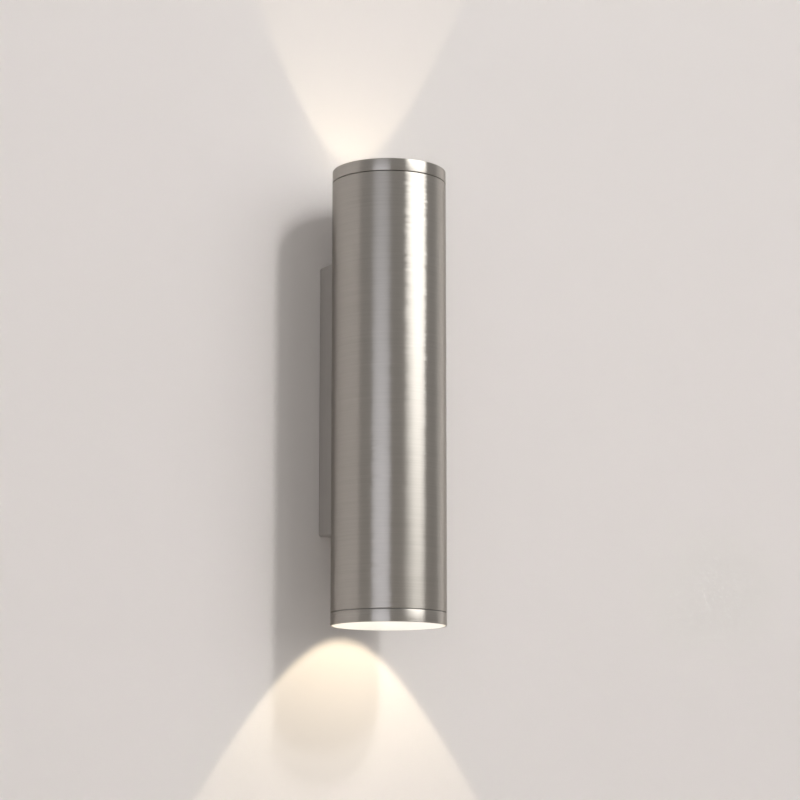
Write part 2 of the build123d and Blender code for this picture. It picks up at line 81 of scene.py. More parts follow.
def newMaterial(name):
    material = bpy.data.materials.new(name)
    material.use_nodes = True
    tree = material.node_tree
    tree.nodes.clear()
    return material, tree


def closeMaterial(tree, shader):
    addNode(tree, "OutputMaterial", {}, {"Surface": shader.outputs[0]})


def paint(piece, material):
    piece.data.materials.clear()
    piece.data.materials.append(material)


def selectOnly(piece):
    bpy.ops.object.select_all(action="DESELECT")
    piece.select_set(True)
    bpy.context.view_layer.objects.active = piece


def editMesh(piece):
    selectOnly(piece)
    bpy.ops.object.mode_set(mode="EDIT")
    bpy.ops.mesh.select_mode(type="FACE")
    bpy.ops.mesh.select_all(action="DESELECT")
    return bmesh.from_edit_mesh(piece.data)


def settle(piece, sharpAngle):
    bpy.ops.object.mode_set(mode="OBJECT")
    bpy.ops.object.transform_apply(location=True, rotation=True, scale=True)
    bpy.ops.object.shade_smooth_by_angle(angle=math.radians(sharpAngle))


def addDrum(name, radius, low, high, segments):
    bpy.ops.object.select_all(action="DESELECT")
    middle = (tubeAxis.x, tubeAxis.y, (low + high) / 2)
    bpy.ops.mesh.primitive_cylinder_add(
        vertices=segments, radius=radius, depth=high - low, location=middle)
    piece = bpy.context.active_object
    piece.name = name
    bpy.ops.object.transform_apply(location=True, rotation=True, scale=True)
    return piece


def pullCap(piece, facing, steps, openEnd):
    # the end face is pulled in turn to each (radius, height), as on a lathe
    mesh = editMesh(piece)
    mesh.faces.ensure_lookup_table()
    cap = max(mesh.faces, key=lambda face: face.calc_center_median().z * facing + face.calc_area())
    cap.select = True
    bmesh.update_edit_mesh(piece.data)
    corner = cap.verts[0].co
    radius = math.hypot(corner.x - tubeAxis.x, corner.y - tubeAxis.y)
    height = corner.z
    for newRadius, newHeight in steps:
        move = {"value": (0, 0, newHeight - height)}
        bpy.ops.mesh.extrude_region_move(TRANSFORM_OT_translate=move)
        size = newRadius / radius
        pivot = (tubeAxis.x, tubeAxis.y, newHeight)
        bpy.ops.transform.resize(value=(size, size, 1), center_override=pivot)
        radius, height = newRadius, newHeight
    if openEnd:
        bpy.ops.mesh.delete(type="FACE")
    bpy.ops.object.mode_set(mode="OBJECT")


def weld(piece, distance):
    editMesh(piece)
    bpy.ops.mesh.select_all(action="SELECT")
    bpy.ops.mesh.remove_doubles(threshold=distance)
    bpy.ops.mesh.normals_make_consistent(inside=False)
    bpy.ops.object.mode_set(mode="OBJECT")


def bevelRims(piece, rims, width, segments):
    # each rim is a (radius, height) circle of edges
    mesh = editMesh(piece)
    bpy.ops.mesh.select_mode(type="EDGE")
    for edge in mesh.edges:
        ends = [(math.hypot(v.co.x - tubeAxis.x, v.co.y - tubeAxis.y), v.co.z) for v in edge.verts]
        for radius, height in rims:
            onRim = all(abs(r - radius) < rimReach and abs(z - height) < rimReach for r, z in ends)
            edge.select = edge.select or onRim
    bmesh.update_edit_mesh(piece.data)
    bpy.ops.mesh.bevel(offset=width, segments=segments, affect="EDGES")
    bpy.ops.object.mode_set(mode="OBJECT")


def carve(piece, tool):
    cut = piece.modifiers.new("cut", "BOOLEAN")
    cut.operation = "DIFFERENCE"
    cut.solver = "EXACT"
    cut.object = tool
    selectOnly(piece)
    bpy.ops.object.modifier_apply(modifier="cut")
    bpy.data.objects.remove(tool, do_unlink=True)


def cutHoles(piece, holes):
    # each hole is bored along Y: (radius, x, near y, far y, z)
    for radius, x, near, far, z in holes:
        bpy.ops.object.select_all(action="DESELECT")
        bpy.ops.mesh.primitive_cylinder_add(
            vertices=tube["holeSegments"], radius=radius, depth=abs(far - near),
            location=(x, (near + far) / 2, z), rotation=(math.pi / 2, 0, 0))
        tool = bpy.context.active_object
        bpy.ops.object.transform_apply(location=True, rotation=True, scale=True)
        carve(piece, tool)


cameraPlan = {
    "stand": Vector((-0.7860, -1.3793, -0.2763)),  # left of the light and a little below it
    "aim": Vector((0.00621, -0.06424, -0.00673)),
    "lens": 107.56,
    "sensor": 36.0,
}
bpy.ops.object.camera_add(location=cameraPlan["stand"])
camera = bpy.context.active_object
camera.name = "viewCamera"
camera.data.lens = cameraPlan["lens"]
camera.data.sensor_width = cameraPlan["sensor"]
camera.rotation_euler = (cameraPlan["aim"] - cameraPlan["stand"]).to_track_quat("-Z", "Y").to_euler()
bpy.context.scene.camera = camera
print("camera placed")


tube = {
    "wall": 1.5 * mm,
    "edge": 0.3 * mm,
    "edgeSteps": 3,
    "segments": 256,
    "sharpAngle": 40,  # shading breaks at corners sharper than this, in degrees
    "back": (-26.5 * mm, -21.0 * mm),  # the holes go through this stretch along Y, at the back of the tube
    "screwHole": 2.25 * mm,
    "screwHeights": (38.0 * mm, -46.0 * mm),
    "bushHole": 5.1 * mm,
    "bushHeight": 26.0 * mm,
    "holeSegments": 48,
}
tubeHoles = [(tube["screwHole"], tubeAxis.x, *tube["back"], height) for height in tube["screwHeights"]]
tubeHoles.append((tube["bushHole"], tubeAxis.x, *tube["back"], tube["bushHeight"]))


def makeTube():
    bore = tubeRadius - tube["wall"]
    piece = addDrum("tubeShell", tubeRadius, tubeLow.z, tubeHigh.z, tube["segments"])
    pullCap(piece, 1, [(bore, tubeHigh.z), (bore, tubeLow.z)], True)
    pullCap(piece, -1, [(bore, tubeLow.z)], True)
    weld(piece, weldReach)
    rims = [(tubeRadius, tubeLow.z), (tubeRadius, tubeHigh.z)]
    bevelRims(piece, rims, tube["edge"], tube["edgeSteps"])
    cutHoles(piece, tubeHoles)
    settle(piece, tube["sharpAngle"])
    return piece


tubeShell = makeTube()
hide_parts("body_tube")
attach(tubeShell, "root")
print("tube made")


# an end ring with its threaded spigot; heights are from the middle of the tube, for the upper end
ring = {
    "low": 142.0 * mm,
    "high": 150.0 * mm,
    "rim": 36.7 * mm,
    "ledge": 145.0 * mm,
    "opening": 31.0 * mm,
    "spigot": 34.0 * mm,
    "spigotEnd": 133.0 * mm,
    "grooveTop": 141.0 * mm,
    "grooveBottom": 138.6 * mm,
    "grooveRadius": 32.4 * mm,
    "edge": 0.3 * mm,
    "fineEdge": 0.12 * mm,
    "edgeSteps": 3,
    "segments": 256,
    "sharpAngle": 35,
}
thread = {
    "pitch": 2.0 * mm,
    "root": 33.3 * mm,
    "crest": 34.3 * mm,
    "halfWidth": 0.75 * mm,
    "start": 139.8 * mm,
    "turns": 4,
    "stepsPerTurn": 96,
}


def makeThreadCutter():
    # a three-cornered bar wound into a right-hand screw, to be cut out of the spigot
    bpy.ops.object.select_all(action="DESELECT")
    bpy.ops.mesh.primitive_circle_add(vertices=3, radius=1, fill_type="NGON", rotation=(math.pi / 2, 0, 0))
    cutter = bpy.context.active_object
    bpy.ops.object.transform_apply(location=True, rotation=True, scale=True)
    halfWidth = thread["halfWidth"]
    corners = [(thread["root"], 0), (thread["crest"], halfWidth), (thread["crest"], -halfWidth)]
    for corner, (radius, height) in zip(cutter.data.vertices, corners):
        corner.co = (radius, 0, height)
    cutter.location = (tubeAxis.x, tubeAxis.y, thread["start"])  # the bar winds about its own origin
    editMesh(cutter)
    bpy.ops.mesh.select_all(action="SELECT")
    bpy.ops.mesh.delete(type="ONLY_FACE")
    bpy.ops.object.mode_set(mode="OBJECT")
    winding = cutter.modifiers.new("winding", "SCREW")
    winding.axis = "Z"
    winding.angle = -2 * math.pi * thread["turns"]
    winding.screw_offset = -thread["pitch"] * thread["turns"]
    winding.steps = thread["stepsPerTurn"] * thread["turns"]
    winding.render_steps = winding.steps
    bpy.ops.object.modifier_apply(modifier="winding")
    bpy.ops.object.transform_apply(location=True, rotation=True, scale=True)
    editMesh(cutter)
    bpy.ops.mesh.select_mode(type="EDGE")
    bpy.ops.mesh.select_all(action="DESELECT")
    bpy.ops.mesh.select_non_manifold()
    bpy.ops.mesh.fill_holes(sides=3)
    bpy.ops.mesh.select_all(action="SELECT")
    bpy.ops.mesh.normals_make_consistent(inside=False)
    bpy.ops.object.mode_set(mode="OBJECT")
    return cutter


def makeRing():
    piece = addDrum("ringPattern", tubeRadius, ring["low"], ring["high"], ring["segments"])
    bore = [(ring["rim"], ring["high"]), (ring["rim"], ring["ledge"]),
            (ring["opening"], ring["ledge"]), (ring["opening"], ring["spigotEnd"])]
    spigot = [(ring["spigot"], ring["low"]), (ring["spigot"], ring["grooveTop"]),
              (ring["grooveRadius"], ring["grooveTop"]), (ring["grooveRadius"], ring["grooveBottom"]),
              (ring["spigot"], ring["grooveBottom"]), (ring["spigot"], ring["spigotEnd"]),
              (ring["opening"], ring["spigotEnd"])]
    pullCap(piece, 1, bore, True)
    pullCap(piece, -1, spigot, True)
    weld(piece, weldReach)
    outerRims = [(tubeRadius, ring["low"]), (tubeRadius, ring["high"])]
    bevelRims(piece, outerRims, ring["edge"], ring["edgeSteps"])
    fineRims = [(ring["rim"], ring["high"]), (ring["opening"], ring["ledge"]),
                (ring["spigot"], ring["grooveTop"]), (ring["spigot"], ring["grooveBottom"]),
                (ring["opening"], ring["spigotEnd"]), (ring["spigot"], ring["spigotEnd"])]
    bevelRims(piece, fineRims, ring["fineEdge"], ring["edgeSteps"])
    carve(piece, makeThreadCutter())
    return piece


def placeAtEnds(pattern, base, replaced, bodies, sharpAngle):
    # the upper copy is only lifted into place, the lower one is turned over about the X axis
    made = []
    for end, turn, shift in (("upper", 0, 0), ("lower", math.pi, 2 * tubeAxis.y)):
        selectOnly(pattern)
        bpy.ops.object.duplicate(linked=False)
        piece = bpy.context.active_object
        piece.name = end + base
        piece.rotation_euler = (turn, 0, 0)
        piece.location = (0, shift, tubeCentre.z)
        settle(piece, sharpAngle)
        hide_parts(end + "_" + replaced)
        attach(piece, bodies[end])
        made.append(piece)
    bpy.data.objects.remove(pattern, do_unlink=True)
    return made


ringBodies = {"upper": "upper_end_ring", "lower": "lower_end_ring"}
fixedBodies = {"upper": "root", "lower": "root"}
rings = placeAtEnds(makeRing(), "RingTurned", "ring", ringBodies, ring["sharpAngle"])
print("rings made")


# the glass lies flush in the ring's rim
disc = {
    "radius": 36.5 * mm,
    "low": 146.0 * mm,
    "high": 150.0 * mm,
    "edge": 0.4 * mm,
    "edgeSteps": 4,
    "flat": 35.3 * mm,  # radius of the inner circle on each flat, which keeps its shading flat
    "segments": 192,
    "sharpAngle": 50,
}


def makeDisc():
    piece = addDrum("discPattern", disc["radius"], disc["low"], disc["high"], disc["segments"])
    rims = [(disc["radius"], disc["low"]), (disc["radius"], disc["high"])]
    bevelRims(piece, rims, disc["edge"], disc["edgeSteps"])
    pullCap(piece, 1, [(disc["flat"], disc["high"])], False)
    pullCap(piece, -1, [(disc["flat"], disc["low"])], False)
    return piece


discs = placeAtEnds(makeDisc(), "OpalDisc", "glass", ringBodies, disc["sharpAngle"])
print("glass made")


# the collar sits in the tube's end, and the ring screws into it
collar = {
    "outer": 35.95 * mm,
    "bore": 34.1 * mm,
    "low": 128.0 * mm,
    "high": 142.0 * mm,
    "edge": 0.3 * mm,
    "edgeSteps": 2,
    "segments": 192,
    "sharpAngle": 35,
}


def makeCollar():
    piece = addDrum("collarPattern", collar["outer"], collar["low"], collar["high"], collar["segments"])
    pullCap(piece, 1, [(collar["bore"], collar["high"]), (collar["bore"], collar["low"])], True)
    pullCap(piece, -1, [(collar["bore"], collar["low"])], True)
    weld(piece, weldReach)
    rims = [(collar["bore"], collar["high"]), (collar["outer"], collar["high"]),
            (collar["outer"], collar["low"])]
    bevelRims(piece, rims, collar["edge"], collar["edgeSteps"])
    return piece


collars = placeAtEnds(
    makeCollar(), "CollarTurned", "collar", fixedBodies, collar["sharpAngle"])
print("collars made")


def patternPlace(tree, centre, sizes):
    # sizes are the pattern's real lengths along x, y and z
    coordinates = addNode(tree, "TexCoord", {}, {})
    scale = tuple(1 / size for size in sizes)
    shift = tuple(-centre[i] * scale[i] for i in range(3))
    return addNode(tree, "Mapping", {}, {
        "Vector": coordinates.outputs["Object"], "Location": shift, "Scale": scale})


noiseLook = {"Scale": 1.0, "Roughness": 0.6}  # patternPlace gives the noise its size
noiseRange = {"From Min": 0.3, "From Max": 0.7}  # noise rarely leaves its middle, taken as its full range

# satin stainless steel, belt-brushed round the tube: light spreads up and down in long soft bands,
# and the faint ripple of the belt makes the edges of each band tremble
brushing = {
    "grainLength": 60 * mm,  # how far one scratch runs round the tube
    "grainWidth": 0.9 * mm,  # real scratches are finer still and would not show
    "grainDetail": 4.0,
    "rippleLength": 22 * mm,
    "rippleWidth": 1.2 * mm,
    "rippleDetail": 2.0,
    "ripple": 0.024,  # sideways lean of the surface at a ripple, as a share of its normal
    "bowLength": 90 * mm,
    "bowDetail": 0.0,
    "bow": 0.0015,
    "pale": "#c0bcb7",
    "deep": "#aca8a3",
    "smooth": 0.30,
    "rough": 0.37,
    "stretch": 1.0,
    "stretchTurn": 0.25,  # a quarter turn, so highlights stretch along the tube and not round it
    "grazing": "#dcdad7",  # the brushed grain takes some light off the tube's very edges
}
# the rings are brushed on the lathe: finer grain, and next to no ripple
ringBrushing = dict(brushing, grainWidth=0.5 * mm, ripple=0.004, bow=0.002, smooth=0.27, rough=0.32)


def makeBrushedSteel(name, plan):
    material, tree = newMaterial(name)
    grainSizes = (plan["grainLength"], plan["grainLength"], plan["grainWidth"])
    grainPlace = patternPlace(tree, tubeCentre, grainSizes)
    grain = addNode(tree, "TexNoise", {}, {
        **noiseLook, "Vector": grainPlace.outputs["Vector"], "Detail": plan["grainDetail"]})
    colour = addNode(tree, "MixRGB", {}, {
        "Fac": grain.outputs["Fac"], "Color1": linearColour(plan["deep"]),
        "Color2": linearColour(plan["pale"])})
    roughness = addNode(tree, "MapRange", {}, {
        **noiseRange, "Value": grain.outputs["Fac"], "To Min": plan["smooth"], "To Max": plan["rough"]})
    rippleSizes = (plan["rippleLength"], plan["rippleLength"], plan["rippleWidth"])
    ripplePlace = patternPlace(tree, tubeCentre, rippleSizes)
    ripple = addNode(tree, "TexNoise", {}, {
        **noiseLook, "Vector": ripplePlace.outputs["Vector"], "Detail": plan["rippleDetail"]})
    rippleLean = addNode(tree, "MapRange", {}, {
        **noiseRange, "Value": ripple.outputs["Fac"], "To Min": -plan["ripple"], "To Max": plan["ripple"]})
    bowPlace = patternPlace(tree, tubeCentre, (plan["bowLength"],) * 3)
    bow = addNode(tree, "TexNoise", {}, {
        **noiseLook, "Vector": bowPlace.outputs["Vector"], "Detail": plan["bowDetail"]})
    bowLean = addNode(tree, "MapRange", {}, {
        **noiseRange, "Value": bow.outputs["Fac"], "To Min": -plan["bow"], "To Max": plan["bow"]})
    lean = addNode(tree, "Math", {"operation": "ADD"}, {
        0: rippleLean.outputs["Result"], 1: bowLean.outputs["Result"]})
    # the normal leans round the tube only, so the bands waver and don't sparkle
    tangent = addNode(tree, "Tangent", {"direction_type": "RADIAL", "axis": "Z"}, {})
    sideways = addNode(tree, "VectorMath", {"operation": "SCALE"}, {
        0: tangent.outputs["Tangent"], "Scale": lean.outputs[0]})
    surface = addNode(tree, "NewGeometry", {}, {})
    leaning = addNode(tree, "VectorMath", {"operation": "ADD"}, {
        0: surface.outputs["Normal"], 1: sideways.outputs["Vector"]})
    normal = addNode(tree, "VectorMath", {"operation": "NORMALIZE"}, {0: leaning.outputs["Vector"]})
    shader = addNode(tree, "BsdfPrincipled", {}, {
        "Base Color": colour.outputs["Color"], "Metallic": 1.0, "Roughness": roughness.outputs["Result"],
        "Anisotropic": plan["stretch"], "Anisotropic Rotation": plan["stretchTurn"],
        "Specular Tint": linearColour(plan["grazing"]), "Normal": normal.outputs["Vector"],
        "Tangent": tangent.outputs["Tangent"]})
    closeMaterial(tree, shader)
    return material


# opal glass lit from behind: an even white face that warms a little at its rim
opal = {
    "body": "#f4f1ea",
    "glow": "#fffcf2",
    "rimGlow": "#fff3cf",
    "rimStart": 35.0 * mm,
    "rimEnd": 36.6 * mm,
    "strength": 0.48,
    "roughness": 0.22,
}


def makeOpalGlass(name, plan):
    material, tree = newMaterial(name)
    coordinates = addNode(tree, "TexCoord", {}, {})
    fromAxis = addNode(tree, "VectorMath", {"operation": "SUBTRACT"}, {
        0: coordinates.outputs["Object"], 1: tuple(tubeCentre)})
    flat = addNode(tree, "VectorMath", {"operation": "MULTIPLY"}, {
        0: fromAxis.outputs["Vector"], 1: (1, 1, 0)})
    radius = addNode(tree, "VectorMath", {"operation": "LENGTH"}, {0: flat.outputs["Vector"]})
    rim = addNode(tree, "MapRange", {}, {
        "Value": radius.outputs["Value"], "From Min": plan["rimStart"], "From Max": plan["rimEnd"]})
    glow = addNode(tree, "MixRGB", {}, {
        "Fac": rim.outputs["Result"], "Color1": linearColour(plan["glow"]),
        "Color2": linearColour(plan["rimGlow"])})
    shader = addNode(tree, "BsdfPrincipled", {}, {
        "Base Color": linearColour(plan["body"]), "Roughness": plan["roughness"],
        "Emission Color": glow.outputs["Color"], "Emission Strength": plan["strength"]})
    closeMaterial(tree, shader)
    return material


# closed-cell foam strip: matt, near black and pitted, with the pits drawn darker as painted shade
foam = {
    "cell": 0.7 * mm,
    "deep": "#232323",
    "pale": "#3a3a39",
    "roughness": 0.92,
    "relief": 0.6,
    "depth": 0.2 * mm,
}


def makeFoam(name, plan):
    material, tree = newMaterial(name)
    place = patternPlace(tree, (0, 0, 0), (plan["cell"],) * 3)
    cells = addNode(tree, "TexVoronoi", {}, {"Vector": place.outputs["Vector"], "Scale": 1.0})
    # the colour darkens where the bump sinks: painted shade in the pits
    colour = addNode(tree, "MixRGB", {}, {
        "Fac": cells.outputs["Distance"], "Color1": linearColour(plan["deep"]),
        "Color2": linearColour(plan["pale"])})
    bump = addNode(tree, "Bump", {}, {
        "Height": cells.outputs["Distance"], "Strength": plan["relief"], "Distance": plan["depth"]})
    shader = addNode(tree, "BsdfPrincipled", {}, {
        "Base Color": colour.outputs["Color"], "Roughness": plan["roughness"],
        "Normal": bump.outputs["Normal"]})
    closeMaterial(tree, shader)
    return material


# zinc-plated sheet: cool grey, with the soft patches the plating leaves
zincSheet = {
    "patch": 6 * mm,
    "haze": 1.2 * mm,
    "hazeDetail": 3.0,
    "deep": "#a9adb0",
    "pale": "#bfc3c6",
    "smooth": 0.3,
    "rough": 0.45,
    "relief": 0.15,
    "depth": 0.03 * mm,
}


def makeZincSheet(name, plan):
    material, tree = newMaterial(name)
    patchPlace = patternPlace(tree, (0, 0, 0), (plan["patch"],) * 3)
    patches = addNode(tree, "TexVoronoi", {"feature": "SMOOTH_F1"}, {
        "Vector": patchPlace.outputs["Vector"], "Scale": 1.0})
    hazePlace = patternPlace(tree, (0, 0, 0), (plan["haze"],) * 3)
    haze = addNode(tree, "TexNoise", {}, {
        **noiseLook, "Vector": hazePlace.outputs["Vector"], "Detail": plan["hazeDetail"]})
    colour = addNode(tree, "MixRGB", {}, {
        "Fac": patches.outputs["Distance"], "Color1": linearColour(plan["deep"]),
        "Color2": linearColour(plan["pale"])})
    roughness = addNode(tree, "MapRange", {}, {
        **noiseRange, "Value": haze.outputs["Fac"], "To Min": plan["smooth"], "To Max": plan["rough"]})
    bump = addNode(tree, "Bump", {}, {
        "Height": haze.outputs["Fac"], "Strength": plan["relief"], "Distance": plan["depth"]})
    shader = addNode(tree, "BsdfPrincipled", {}, {
        "Base Color": colour.outputs["Color"], "Metallic": 1.0, "Roughness": roughness.outputs["Result"],
        "Normal": bump.outputs["Normal"]})
    closeMaterial(tree, shader)
    return material


# clear moulded lens with small facets that scatter the lamp's chips
clearOptic = {
    "facet": 1.8 * mm,
    "facetLength": 36 * mm,
    "colour": "#f3f3ee",
    "roughness": 0.12,
    "ior": 1.49,
    "clear": 0.75,
    "relief": 0.5,
    "depth": 0.3 * mm,
}


def makeClearOptic(name, plan):
    material, tree = newMaterial(name)
    place = patternPlace(tree, tubeCentre, (plan["facet"], plan["facet"], plan["facetLength"]))
    facets = addNode(tree, "TexVoronoi", {}, {"Vector": place.outputs["Vector"], "Scale": 1.0})
    bump = addNode(tree, "Bump", {}, {
        "Height": facets.outputs["Distance"], "Strength": plan["relief"], "Distance": plan["depth"]})
    shader = addNode(tree, "BsdfPrincipled", {}, {
        "Base Color": linearColour(plan["colour"]), "Roughness": plan["roughness"], "IOR": plan["ior"],
        "Transmission Weight": plan["clear"], "Normal": bump.outputs["Normal"]})
    closeMaterial(tree, shader)
    return material


# extruded insulation: green with a yellow stripe that winds along it
earthSleeve = {
    "pitch": 9 * mm,
    "edgeStart": 0.45,
    "edgeEnd": 0.55,
    "green": "#2f7a38",
    "yellow": "#d9c62e",
    "roughness": 0.42,
}


def makeEarthSleeve(name, plan):
    material, tree = newMaterial(name)
    place = patternPlace(tree, (0, 0, 0), (plan["pitch"],) * 3)
    bands = addNode(tree, "TexWave", {"bands_direction": "DIAGONAL"}, {
        "Vector": place.outputs["Vector"], "Scale": 1.0, "Distortion": 0.0})
    edge = addNode(tree, "MapRange", {"interpolation_type": "SMOOTHSTEP"}, {
        "Value": bands.outputs["Fac"], "From Min": plan["edgeStart"], "From Max": plan["edgeEnd"]})
    colour = addNode(tree, "MixRGB", {}, {
        "Fac": edge.outputs["Result"], "Color1": linearColour(plan["green"]),
        "Color2": linearColour(plan["yellow"])})
    shader = addNode(tree, "BsdfPrincipled", {}, {
        "Base Color": colour.outputs["Color"], "Roughness": plan["roughness"]})
    closeMaterial(tree, shader)
    return material


# the other finishes differ only in these values; what an entry leaves out is in commonGrain
metal = {"Metallic": 1.0}
commonGrain = {"centre": (0, 0, 0), "detail": 3.0, "relief": 0.3, "body": {}}
grainedFinishes = {
    # cast box brushed along its height to go with the tube, but duller; its colour is paler than the
    # tube's, painted light that lifts the sides, which mirror the shaded wall
    "box_steel": {
        "name": "brushedCastBoxLightened", "deep": "#c4c2c0", "pale": "#dad8d6", "roughness": (0.34, 0.46),
        "grain": (0.7 * mm, 0.7 * mm, 70 * mm), "detail": 4.0, "relief": 0.2, "depth": 0.03 * mm,
        "body": metal},
    # lathe-turned aluminium: fine rings round the bore
    "turned_aluminium": {
        "name": "turnedAluminium", "deep": "#adaeb0", "pale": "#c6c7c9", "roughness": (0.25, 0.4),
        "grain": (40 * mm, 40 * mm, 0.25 * mm), "centre": tubeCentre, "depth": 0.02 * mm, "body": metal},
    # moulded silicone: milky, slightly waxy
    "silicone": {
        "name": "mouldedSilicone", "deep": "#cfcec8", "pale": "#dddcd6", "roughness": (0.4, 0.5),
        "grain": (1.5 * mm,) * 3, "depth": 0.03 * mm,
        "body": {"Subsurface Weight": 0.4, "Subsurface Radius": (0.8 * mm,) * 3}},
    # moulded rubber: soft black with a dusty bloom
    "black_rubber": {
        "name": "mouldedRubber", "deep": "#1c1c1c", "pale": "#2a2a29", "roughness": (0.6, 0.75),
        "grain": (1.2 * mm,) * 3, "depth": 0.04 * mm},
    # moulded thermoplastic lamp shell: even off-white with a fine spark-eroded grain
    "lamp_casing": {
        "name": "mouldedLampShell", "deep": "#dcdbd7", "pale": "#e4e3df", "roughness": (0.42, 0.52),
        "grain": (0.35 * mm,) * 3, "depth": 0.02 * mm},
    # nickel-plated turned pins: warm bright metal
    "plated_pins": {
        "name": "nickelPlatedPins", "deep": "#b9b4a8", "pale": "#cfcabf", "roughness": (0.15, 0.25),
        "grain": (2 * mm,) * 3, "centre": tubeCentre, "depth": 0.01 * mm, "body": metal},
    # pressed and fired steatite: chalky cream with faint speckle
    "ceramic": {
        "name": "firedSteatite", "deep": "#d8d2c4", "pale": "#e6e1d5", "roughness": (0.5, 0.65),
        "grain": (0.6 * mm,) * 3, "depth": 0.04 * mm},
    # stamped brass, a little dulled
    "brass": {
        "name": "stampedBrass", "deep": "#b4924f", "pale": "#d0b06b", "roughness": (0.25, 0.4),
        "grain": (3 * mm,) * 3, "centre": tubeCentre, "depth": 0.02 * mm, "body": metal},
    # bright zinc-plated fasteners: cool and rather shiny
    "zinc_screws": {
        "name": "zincPlatedFasteners", "deep": "#a6abb0", "pale": "#c3c8cc", "roughness": (0.2, 0.34),
        "grain": (1.5 * mm,) * 3, "centre": tubeCentre, "depth": 0.02 * mm, "body": metal},
    # moulded nylon: waxy off-white
    "white_nylon": {
        "name": "mouldedNylon", "deep": "#d9d7ce", "pale": "#e3e1d9", "roughness": (0.45, 0.55),
        "grain": (0.9 * mm,) * 3, "depth": 0.02 * mm,
        "body": {"Subsurface Weight": 0.2, "Subsurface Radius": (1.0 * mm,) * 3}},
    # extruded fluoropolymer: smooth, slightly glossy white
    "lead_sleeve": {
        "name": "extrudedLeadSleeve", "deep": "#dedcd4", "pale": "#e8e6df", "roughness": (0.28, 0.36),
        "grain": (4 * mm,) * 3, "depth": 0.01 * mm},
}


def makeGrained(plan):
    material, tree = newMaterial(plan["name"])
    place = patternPlace(tree, plan["centre"], plan["grain"])
    grain = addNode(tree, "TexNoise", {}, {
        **noiseLook, "Vector": place.outputs["Vector"], "Detail": plan["detail"]})
    colour = addNode(tree, "MixRGB", {}, {
        "Fac": grain.outputs["Fac"], "Color1": linearColour(plan["deep"]),
        "Color2": linearColour(plan["pale"])})
    smooth, rough = plan["roughness"]
    roughness = addNode(tree, "MapRange", {}, {
        **noiseRange, "Value": grain.outputs["Fac"], "To Min": smooth, "To Max": rough})
    bump = addNode(tree, "Bump", {}, {
        "Height": grain.outputs["Fac"], "Strength": plan["relief"], "Distance": plan["depth"]})
    shader = addNode(tree, "BsdfPrincipled", {}, {
        "Base Color": colour.outputs["Color"], "Roughness": roughness.outputs["Result"],
        "Normal": bump.outputs["Normal"], **plan["body"]})
    closeMaterial(tree, shader)
    return material


slotMaterials = {
    "brushed_steel": makeBrushedSteel("brushedStainlessTube", brushing),
    "opal_glass": makeOpalGlass("opalGlassLit", opal),
    "foam": makeFoam("closedCellFoam", foam),
    "lamp_optic": makeClearOptic("mouldedClearOptic", clearOptic),
    "zinc_steel": makeZincSheet("zincPlatedSheet", zincSheet),
    "earth_sleeve": makeEarthSleeve("extrudedEarthSleeve", earthSleeve),
}
for slot, plan in grainedFinishes.items():
    slotMaterials[slot] = makeGrained({**commonGrain, **plan})
for subpart in frame["record"]["subparts"]:
    paint(nodes[subpart["node"]], slotMaterials[subpart["material_slot"]])
ringSteel = makeBrushedSteel("brushedStainlessRing", ringBrushing)
paint(tubeShell, slotMaterials["brushed_steel"])
for piece in rings:
    paint(piece, ringSteel)
for piece in discs:
    paint(piece, slotMaterials["opal_glass"])
for piece in collars:
    paint(piece, slotMaterials["turned_aluminium"])
print("materials made")


room = {
    "wallColour": "#e4e1e1",
    "floorColour": "#e2ded8",
    "paintRoughness": 0.85,
    "horizonColour": "#a4a2a0",
    "ceilingColour": "#b4b1ad",
    "ceilingStarts": 0.3,  # sine of the angle above the horizon
    "ceilingFull": 0.8,
    "size": 40.0,
    "floorDrop": 1.6,
    "wallGap": 0.3 * mm,
    "hole": (34 * mm, 181 * mm),  # behind the box, so that the back of the light can be seen and lit
    "holeStart": 0.1,  # the square that the hole is drawn out from
}


def makePaint(name, colour, oneSided):
    # matt wall paint, rolled on: flat and even
    material, tree = newMaterial(name)
    shader = addNode(tree, "BsdfPrincipled", {}, {
        "Base Color": linearColour(colour), "Roughness": room["paintRoughness"]})
    if oneSided:
        # from behind it is clear, so that the light can be looked at through the wall
        side = addNode(tree, "NewGeometry", {}, {})
        clear = addNode(tree, "BsdfTransparent", {}, {})
        shader = addNode(tree, "MixShader", {}, {
            0: side.outputs["Backfacing"], 1: shader.outputs[0], 2: clear.outputs[0]})
    closeMaterial(tree, shader)
    return material


def makeWall():
    bpy.ops.object.select_all(action="DESELECT")
    bpy.ops.mesh.primitive_plane_add(
        size=room["size"], location=(0, room["wallGap"], 0), rotation=(math.pi / 2, 0, 0))
    wall = bpy.context.active_object
    wall.name = "roomWall"
    bpy.ops.object.transform_apply(location=True, rotation=True, scale=True)
    mesh = editMesh(wall)
    mesh.faces.ensure_lookup_table()
    mesh.faces[0].select = True
    bmesh.update_edit_mesh(wall.data)
    bpy.ops.mesh.inset(thickness=(room["size"] - room["holeStart"]) / 2)
    width, height = (size / room["holeStart"] for size in room["hole"])
    bpy.ops.transform.resize(value=(width, 1, height), center_override=(0, room["wallGap"], 0))
    bpy.ops.mesh.delete(type="FACE")
    bpy.ops.object.mode_set(mode="OBJECT")
    paint(wall, makePaint("wallPaint", room["wallColour"], True))
    return wall


def makeFloor():
    bpy.ops.object.select_all(action="DESELECT")
    bpy.ops.mesh.primitive_plane_add(size=room["size"], location=(0, 0, -room["floorDrop"]))
    floor = bpy.context.active_object
    floor.name = "roomFloor"
    bpy.ops.object.transform_apply(location=True, rotation=True, scale=True)
    paint(floor, makePaint("floorPaint", room["floorColour"], False))
    return floor


